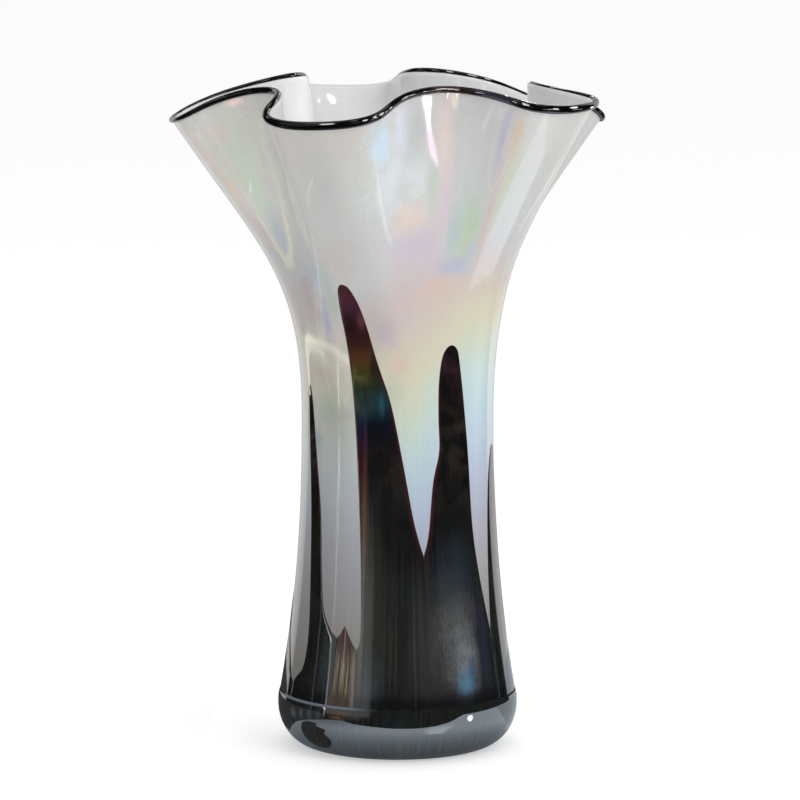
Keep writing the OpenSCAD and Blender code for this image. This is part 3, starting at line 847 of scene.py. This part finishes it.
dark = dark_paint("dark_flame_glass", HAZE_AND_SHEEN)
side_dark = dark_paint("side_flame_glass", HAZE_AND_SHEEN, (0.0, 0.2, 0.45))
tall_dark = dark_paint("tall_flame_glass", HAZE_AND_SHEEN, (0.08, 0.34, 0.7), crossing=True)
dress(opal_body(), "opal_body", "opal_glass", opal_paint(), opal_paint(inside=True))
dress(base_cup(), "base_cup", "dark_glass", dark_paint("dark_cup_glass", CUP_MARKS_AND_REFLECTION))
for number, sides in enumerate(FLAMES, 1):
    paint = tall_dark if number in (2, 6) else side_dark if number in (5, 7, 8) else dark
    dress(flame(f"dark_flame_{number}", sides, 24, 150), f"flame_{number}", "dark_flame", paint)
dress(flame("ember_feather", EMBER, 16, 40), "ember_streak", "ember_glass", ember_paint())
dress(lip_wrap(), "lip_wrap", "black_thread", thread_paint())


# ---------------- studio
EYE = (0, -2.2, 0.463)


def studio_world():
    """White to the eye and soft white as light; in the glass, a white wall behind and a dark front."""
    world = bpy.data.worlds.new("studio")
    bpy.context.scene.world = world
    world.use_nodes = True
    sky = Nodes(world.node_tree)
    x, y, z = sky.split(sky.node("ShaderNodeTexCoord").outputs["Generated"])
    degrees = 180 / math.pi
    azimuth = sky.times(sky.math("ARCTAN2", x, sky.times(y, -1.0)), degrees)
    height = sky.times(sky.math("ARCSINE", z), degrees)
    away = sky.math("ABSOLUTE", azimuth)

    def window(start, end, soft, low, high, level, fall=4.0):
        """A panel between two azimuths and two heights, as its brightness there."""
        return sky.times(sky.fade(azimuth, start - soft, start), sky.fade(azimuth, end + soft, end),
                         sky.fade(height, low - fall, low), sky.fade(height, high + fall, high), level)

    # The white wall behind, wider low down and dimmer in its middle
    edge = sky.fade(sky.fade(height, -11.0, -17.0), 0.0, 1.0, sky.fade(away, 134.0, 138.5),
                    sky.fade(away, 124.0, 166.0), "LINEAR")
    glow = sky.times(edge, sky.fade(away, 154.0, 177.0, 1.0, 0.42), sky.fade(height, 40.0, 22.0, 0.0, 0.87))
    panels = [
        (-72, -30, 6, 2, 50, 0.24, 10), (-38.6, -38.2, 0.6, -9, 30, 0.10), (-92.2, -91.8, 0.5, -2, 30, 0.3),
        (-79.6, -79.2, 0.4, 2, 30, 0.14), (17.5, 17.8, 0.4, 0, 30, 0.14), (-33.4, -33.0, 0.5, 0, 20, 0.25)]
    lamps = ((-66, -54), (-9, 2), (72, 82), (150, 165), (-160, -142))
    panels += [(start, end, 1.5, 50, 70, 1.6, 3) for start, end in lamps]
    for panel in panels:
        glow = sky.math("MAXIMUM", glow, window(*panel))
    glow = sky.math("MAXIMUM", glow, sky.fade(height, 50.0, 75.0, 0.0, 0.2))
    glow = sky.math("MAXIMUM", glow, 0.012)
    # Soft light, a little stronger from the right
    light = sky.math("MULTIPLY_ADD", x, 0.12, 0.63)
    rays = sky.node("ShaderNodeLightPath")
    lit = sky.blend(rays.outputs["Is Glossy Ray"], sky.grey(light), sky.grey(glow))
    background = sky.node("ShaderNodeBackground")
    sky.put(background.inputs["Color"], sky.blend(rays.outputs["Is Camera Ray"], lit, WHITE))
    sky.put(sky.node("ShaderNodeOutputWorld").inputs["Surface"], background.outputs[0])


def spread(rows):
    """Five places along each row, which is its left and right end and its level, or the level at each."""
    rows = np.array([(*row, row[-1])[:4] for row in rows], float)[:, None]
    along = np.linspace(0, 1, 5)
    return mix(rows[..., 0], rows[..., 1], along), mix(rows[..., 2], rows[..., 3], along)


def on_wall(rows, inside=False):
    """Points of the wall and its directions out, for rows by angle at a row v."""
    angle, v = spread(rows)
    point, normal = wall(angle, v), outward(angle, v)
    return (point - normal * glass_t(v)[..., None], -normal) if inside else (point, normal)


def on_cup(rows):
    """The same on the outside of the cup, for rows by angle at a height."""
    angle, z = spread(rows)
    angle = np.radians(angle)
    low = np.arccos(np.clip(1 - z / CUP_SWELL_H, -1, 1))
    high = np.clip((z - CUP_SWELL_H) / (CUP_H - CUP_SWELL_H), 0, 1)
    lean = (CUP_R - CUP_TOP_R - FLAME_T) * 3 * high ** 2 / (CUP_H - CUP_SWELL_H)
    swell = z < CUP_SWELL_H
    r = np.where(swell, FOOT_R + (CUP_R - FOOT_R) * np.sin(low), mix(CUP_R, CUP_TOP_R + FLAME_T, high ** 3))
    out = np.where(swell, np.sin(low) / (CUP_R - FOOT_R), 1)
    rise = np.where(swell, -np.cos(low) / CUP_SWELL_H, lean)
    return around(r, angle, z), unit(around(out, angle, rise))


def on_thread(rows):
    """The same on the thread, for rows by angle at a turn round its section."""
    angle, turn = spread(rows)
    wide, high = (size[..., None] for size in thread_size(angle))
    out, up = outward(angle, 2.0), climb(angle, 2.0)
    x, y = np.cos(np.radians(turn))[..., None], np.sin(np.radians(turn))[..., None]
    return wall(angle, 2.0) + out * x * wide + up * y * high, unit(out * x / wide + up * y / high)


def glint(name, where, distance, strength, colour=WHITE, soft=False):
    """A lit card at the place where it mirrors in the given patch of glass."""
    point, normal = where
    view = unit(point - np.array(EYE) / MM)
    mirrored = view - 2 * np.sum(view * normal, -1, keepdims=True) * normal
    points = (point + mirrored * distance).reshape(-1, 3) * MM
    mesh = bpy.data.meshes.new(name)
    mesh.from_pydata(points.tolist(), [], grid_faces(*point.shape[:2]).tolist())
    if soft:
        inner = np.zeros(point.shape[:2], dtype=np.float32)
        inner[1:-1, 1:-1] = 1
        mesh.attributes.new("inner", "FLOAT", "POINT").data.foreach_set("value", inner.ravel())
    show_in_glass(name, mesh, colour, strength, soft=soft)


def show_in_glass(name, mesh, colour, strength, near=False, soft=False):
    """A lit card that only the glass sees: a near one is dim by the vase, a soft one clear at its edges."""
    card = put_in_scene(name, mesh)
    paint = Paint(name, Roughness=1.0, Base_Color=(0, 0, 0, 1))
    paint.set(Emission_Color=colour, Emission_Strength=strength)
    if soft:
        paint.set(Alpha=paint.node("ShaderNodeAttribute", attribute_name="inner").outputs["Fac"])
    if near:
        away = paint.fade(paint.length(paint.point), 0.036, 0.085, 0.1 * strength, strength)
        aside = paint.fade(paint.split(paint.point)[0], -0.10, -0.02, 0.5, 1.0)
        paint.set(Emission_Strength=paint.times(away, aside))
    mesh.materials.append(paint.material)
    for kind in ("camera", "diffuse", "transmission", "shadow", "volume_scatter"):
        setattr(card, f"visible_{kind}", False)


def table_glow():
    """The white table top as the glass mirrors it, dim by the vase, with something dark on its left."""
    white = [(-86, 20), (-102, -33), (-115, -73), (-102, -103), (-62, -101), (-28, -99), (2, -95),
             (26, -92.5), (46, -93), (76, -99), (118, -106), (300, -165), (360, 100), (200, 300),
             (-87, 300)]
    left = [(-56, 0), (-80, -10), (-102, -33), (-115, -73), (-400, -100), (-400, 220), (-58, 260)]
    right = [(56, 0), (300, 50), (300, 300), (58, 260)]
    blot = [(-79, -19), (-88, -26), (-84, -37), (-78, -42), (-70, -39), (-64, -42), (-55, -46), (-48, -42),
            (-42, -42), (-36, -41), (-33, -36), (-37, -30), (-46, -24), (-55, -21), (-66, -19), (-79, -19)]
    blot = spline(blot, np.linspace(0, 1, 60, endpoint=False)).tolist()
    for name, corners, z, colour, strength in (
            ("table_glow", white, 0.2, (0.77, 0.89, 1, 1), 1.2), ("table_left", left, 0.3, WHITE, 0.06),
            ("table_right", right, 0.3, (0.85, 0.93, 1, 1), 0.75),
            ("table_blot", blot, 0.4, (0.8, 0.8, 0.75, 1), 0.07)):
        mesh = bpy.data.meshes.new(name)
        mesh.from_pydata([(x * MM, y * MM, z * MM) for x, y in corners], [], [tuple(range(len(corners)))])
        show_in_glass(name, mesh, colour, strength, near=name == "table_glow")


def pale_floor():
    """A wide pale floor, which the glass mirrors only through the studio's own light."""
    half = 6.0
    corners = [(-half, -half, 0), (half, -half, 0), (half, half, 0), (-half, half, 0)]
    mesh = bpy.data.meshes.new("floor")
    mesh.from_pydata(corners, [], [(0, 1, 2, 3)])
    paint = Paint("floor_pale", Roughness=0.8, Emission_Color=WHITE, Emission_Strength=0.47)
    speck = paint.noise(paint.point, 60.0, 2.0)
    paint.set(Base_Color=paint.blend(speck, (0.80, 0.80, 0.80, 1), (0.83, 0.83, 0.83, 1)))
    mesh.materials.append(paint.material)
    floor = put_in_scene("floor", mesh)
    floor.visible_glossy = False


def aim(thing, place, target):
    """Puts a camera or a light at a place, looking at a target."""
    thing.location = place
    thing.rotation_euler = (Vector(target) - Vector(place)).to_track_quat("-Z", "Y").to_euler()


def softbox(name, place, target, size, power):
    """A square area light, kept out of the glass's reflections."""
    data = bpy.data.lights.new(name, "AREA")
    data.shape = "SQUARE"
    data.size = size
    data.energy = power
    light = put_in_scene(name, data)
    aim(light, place, target)
    light.visible_glossy = False
    light.visible_camera = False


def camera():
    """A long lens a little above the rim, level with the photograph's view of the vase."""
    data = bpy.data.cameras.new("camera")
    data.lens = 224.0
    data.sensor_width = 36.0
    view = put_in_scene("camera", data)
    aim(view, EYE, (0.0011, 0, 0.1554))
    bpy.context.scene.camera = view


bpy.context.scene.view_settings.view_transform = "Standard"
studio_world()
pale_floor()
table_glow()
camera()
softbox("key_right", (1.1, -1.3, 1.3), (0, 0, 0.18), 1.0, 7)
softbox("top", (0.1, 0.2, 1.6), (0, 0, 0.15), 1.2, 4)
glint("drip_top", on_wall([
    (12.4, 15.8, 1.992), (13.0, 15.9, 1.975), (13.8, 15.6, 1.955), (14.3, 15.4, 1.935),
    (14.4, 15.8, 1.915)]), 320, 9)
glint("drip_end", on_wall([
    (14.4, 15.8, 1.915), (14.6, 16.5, 1.895), (15.0, 17.0, 1.875), (15.7, 17.5, 1.855),
    (16.6, 17.8, 1.838), (17.6, 18.0, 1.822)]), 320, 8, tone(250, 190, 240))
glint("blob", on_wall([
    (7.4, 9.2, 1.992), (6.6, 9.4, 1.985), (7.0, 9.2, 1.975), (8.0, 9.0, 1.966)]), 320, 8)
glint("bead", on_wall([(20.6, 23.2, 1.990), (21.2, 22.9, 1.980), (21.8, 22.5, 1.962)]),
      320, 4, tone(255, 214, 150))
# Dashes of light along the thread: two ends by angle, and two by the turn round the thread's section
DASH, DIM_DASH = 9, 2.5
FIRST_DIM = 14
for number, (start, end, low, high) in enumerate((
        (-21.6, -18.8, 44, 60), (-13.3, -11.8, 28, 46), (-9.9, -9.1, 24, 36), (-8.3, -5.9, 28, 46),
        (-2.8, -1.5, 12, 32), (4.4, 7.4, -2, 20), (38.8, 41.2, 24, 42), (46.8, 48.4, 30, 48),
        (50.9, 53.2, 44, 68), (57.2, 58.6, 10, 30), (160.2, 157.8, 140, 152), (154.2, 151.2, 136, 150),
        (149.6, 147.6, 136, 150), (144, 134, 128, 140), (-64.5, -58.5, 30, 40)), 1):
    glint(f"dash_{number}", on_thread([
        (mix(start, end, 0.25), mix(start, end, 0.75), low), (start, end, (low + high) / 2),
        (mix(start, end, 0.2), mix(start, end, 0.8), high)]), 60, DASH if number < FIRST_DIM else DIM_DASH)
glint("inner_heart", on_wall([
    (-160.7, -161.2, 1.976), (-160.2, -161.9, 1.967), (-160.4, -162.0, 1.958),
    (-160.8, -161.7, 1.949)], inside=True), 60, 45)
glint("inner_tick", on_wall([(-156.8, -157.2, 1.966), (-156.8, -157.2, 1.950)], inside=True), 60, 30)
glint("cup_glow", on_cup([(35.4, 37.8, 17.4), (33.6, 39.4, 19.4), (34.2, 39.0, 21.2)]), 75, 1.6,
      (0.8, 0.9, 1, 1), soft=True)
glint("cup_star", on_cup([(36.0, 37.2, 18.2), (34.9, 38.3, 19.6), (35.8, 37.8, 20.9)]), 60, 6)
glint("cup_smudge", on_cup([
    (14.0, 20.0, 12.2, 12.6), (12.5, 24.0, 14.0, 14.6), (11.5, 28.0, 16.0, 16.8),
    (11.0, 30.0, 17.6, 18.2)]), 24, 1.8, (0.85, 0.93, 1, 1), soft=True)
glint("long_line", on_wall([
    (-37.0, -36.4, -0.01), (-37.2, -36.6, 0.12), (-37.2, -36.6, 0.26)]), 300, 1.0)
glint("long_line_top", on_wall([
    (-37.2, -36.6, 0.26), (-37.2, -36.5, 0.45), (-37.3, -36.6, 0.70),
    (-37.5, -36.8, 0.95), (-37.3, -37.0, 1.16)]), 300, 4)
glint("band", on_wall([
    (-65.5, -62.3, 1.06), (-65.6, -62.2, 1.12), (-64.8, -61.0, 1.19, 1.165), (-62.0, -59.5, 1.235, 1.185),
    (-57.0, -56.0, 1.255, 1.195), (-50.0, -50.0, 1.252, 1.193), (-43.0, -43.0, 1.222, 1.172),
    (-35.0, -35.0, 1.188, 1.148), (-29.0, -29.0, 1.162, 1.130)]), 110, 2.0, tone(250, 248, 225))
glint("band_end", on_wall([
    (-28.5, -28.5, 1.160, 1.128), (-22.0, -22.0, 1.132, 1.108), (-17.0, -17.0, 1.110, 1.096),
    (-12.0, -12.0, 1.086, 1.082)]), 110, 0.45, tone(190, 200, 110))
glint("flank", on_wall([
    (57.2, 57.8, 1.86), (57.9, 58.6, 1.80), (57.4, 58.2, 1.72), (56.0, 56.7, 1.62),
    (53.4, 54.0, 1.53)]), 320, 1.2)
glint("lobe_blush", on_wall([(-64.5, -60.0, 1.990), (-63.5, -60.5, 1.978)]), 320, 2, tone(255, 205, 225))
